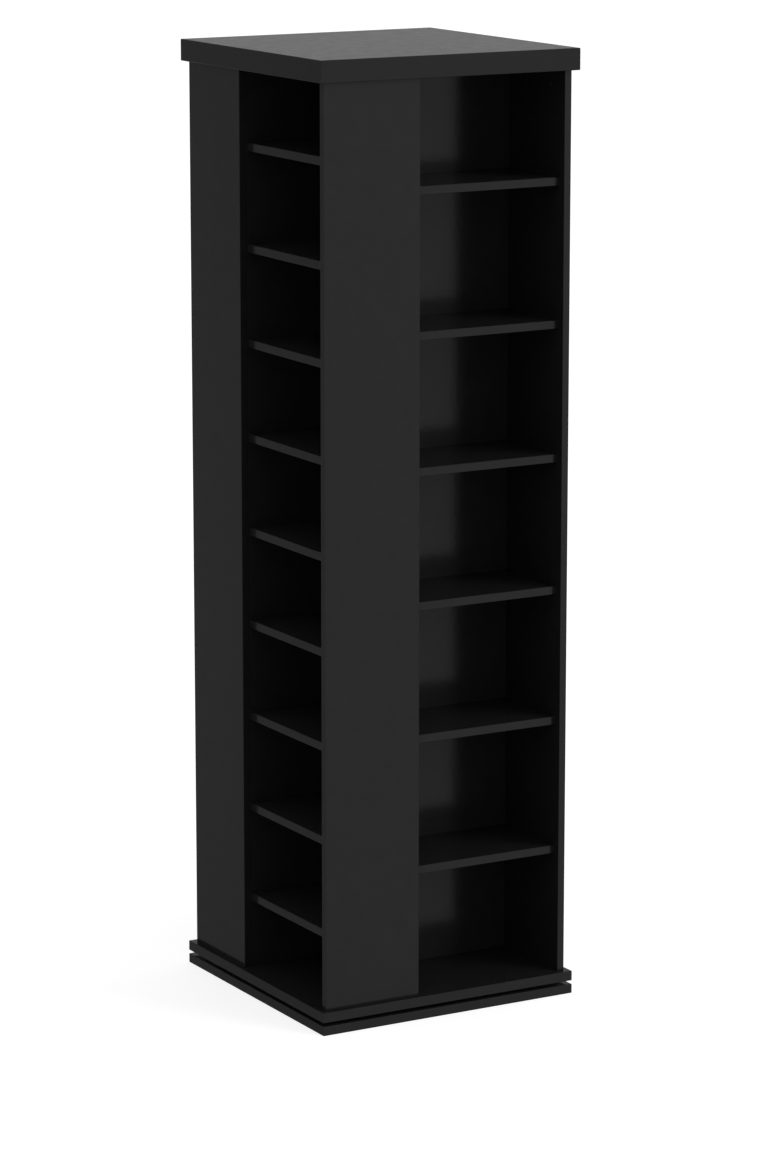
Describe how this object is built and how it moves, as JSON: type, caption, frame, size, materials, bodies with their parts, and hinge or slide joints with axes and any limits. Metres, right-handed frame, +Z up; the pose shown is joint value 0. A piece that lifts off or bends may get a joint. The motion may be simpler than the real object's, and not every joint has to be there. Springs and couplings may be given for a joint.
{
  "type": "rotating media tower",
  "caption": "Tall square four-sided storage tower with open shelves for disc cases on every side, turning on a flat square base with a ball bearing.",
  "frame": {"origin": "on the floor under the middle of the base board", "axes": "+Z up along the turning axis; the front side faces -Y and the left side faces -X"},
  "size_m": [0.4826, 0.4826, 1.6002],
  "materials": {
    "board_laminate": "satin black laminate",
    "shelf_laminate": "satin black laminate",
    "wall_hardboard": "satin black faced hardboard",
    "top_laminate": "satin black laminate",
    "beech_dowel": "bare beech",
    "zinc_plate": "zinc plated pressed steel",
    "zinc_screw": "zinc plated",
    "cam_zinc": "zinc alloy casting",
    "ball_steel": "polished steel",
    "cage_plastic": "natural nylon",
    "cap_plastic": "satin black"
  },
  "bodies": {
    "base": {"base_board": "board_laminate", "bearing_lower_plate": "zinc_plate", "lower_plate_screws": "zinc_screw"},
    "bearing_cage": {"bearing_cage": "cage_plastic", "bearing_balls": "ball_steel"},
    "tower": {"back_inner_wall": "wall_hardboard", "back_panel": "board_laminate", "back_shelf_1": "shelf_laminate", "back_shelf_2": "shelf_laminate", "back_shelf_3": "shelf_laminate", "back_shelf_4": "shelf_laminate", "back_shelf_5": "shelf_laminate", "back_shelf_6": "shelf_laminate", "bearing_upper_plate": "zinc_plate", "cam_bolts": "zinc_screw", "cam_caps": "cap_plastic", "cam_locks": "cam_zinc", "carcass_screws": "zinc_screw", "front_inner_wall": "wall_hardboard", "front_panel": "board_laminate", "front_shelf_1": "shelf_laminate", "front_shelf_2": "shelf_laminate", "front_shelf_3": "shelf_laminate", "front_shelf_4": "shelf_laminate", "front_shelf_5": "shelf_laminate", "front_shelf_6": "shelf_laminate", "left_inner_wall": "wall_hardboard", "left_panel": "board_laminate", "left_shelf_1": "shelf_laminate", "left_shelf_2": "shelf_laminate", "left_shelf_3": "shelf_laminate", "left_shelf_4": "shelf_laminate", "left_shelf_5": "shelf_laminate", "left_shelf_6": "shelf_laminate", "left_shelf_7": "shelf_laminate", "left_shelf_8": "shelf_laminate", "left_shelf_9": "shelf_laminate", "right_inner_wall": "wall_hardboard", "right_panel": "board_laminate", "right_shelf_1": "shelf_laminate", "right_shelf_2": "shelf_laminate", "right_shelf_3": "shelf_laminate", "right_shelf_4": "shelf_laminate", "right_shelf_5": "shelf_laminate", "right_shelf_6": "shelf_laminate", "right_shelf_7": "shelf_laminate", "right_shelf_8": "shelf_laminate", "right_shelf_9": "shelf_laminate", "shelf_dowels": "beech_dowel", "shelf_screws": "zinc_screw", "top_board": "top_laminate", "turning_board": "board_laminate", "upper_plate_screws": "zinc_screw"}
  },
  "joints": [
    {"name": "tower_turn", "type": "hinge", "parent": "base", "child": "tower", "pos_m": [0, 0, 0.019], "axis": [0, 0, 1], "continuous": true},
    {"name": "cage_turn", "type": "hinge", "parent": "base", "child": "bearing_cage", "pos_m": [0, 0, 0.019], "axis": [0, 0, 1], "continuous": true}
  ],
  "couplings": [
    {"joint": "cage_turn", "follows": "tower_turn", "ratio": 0.5}
  ]
}
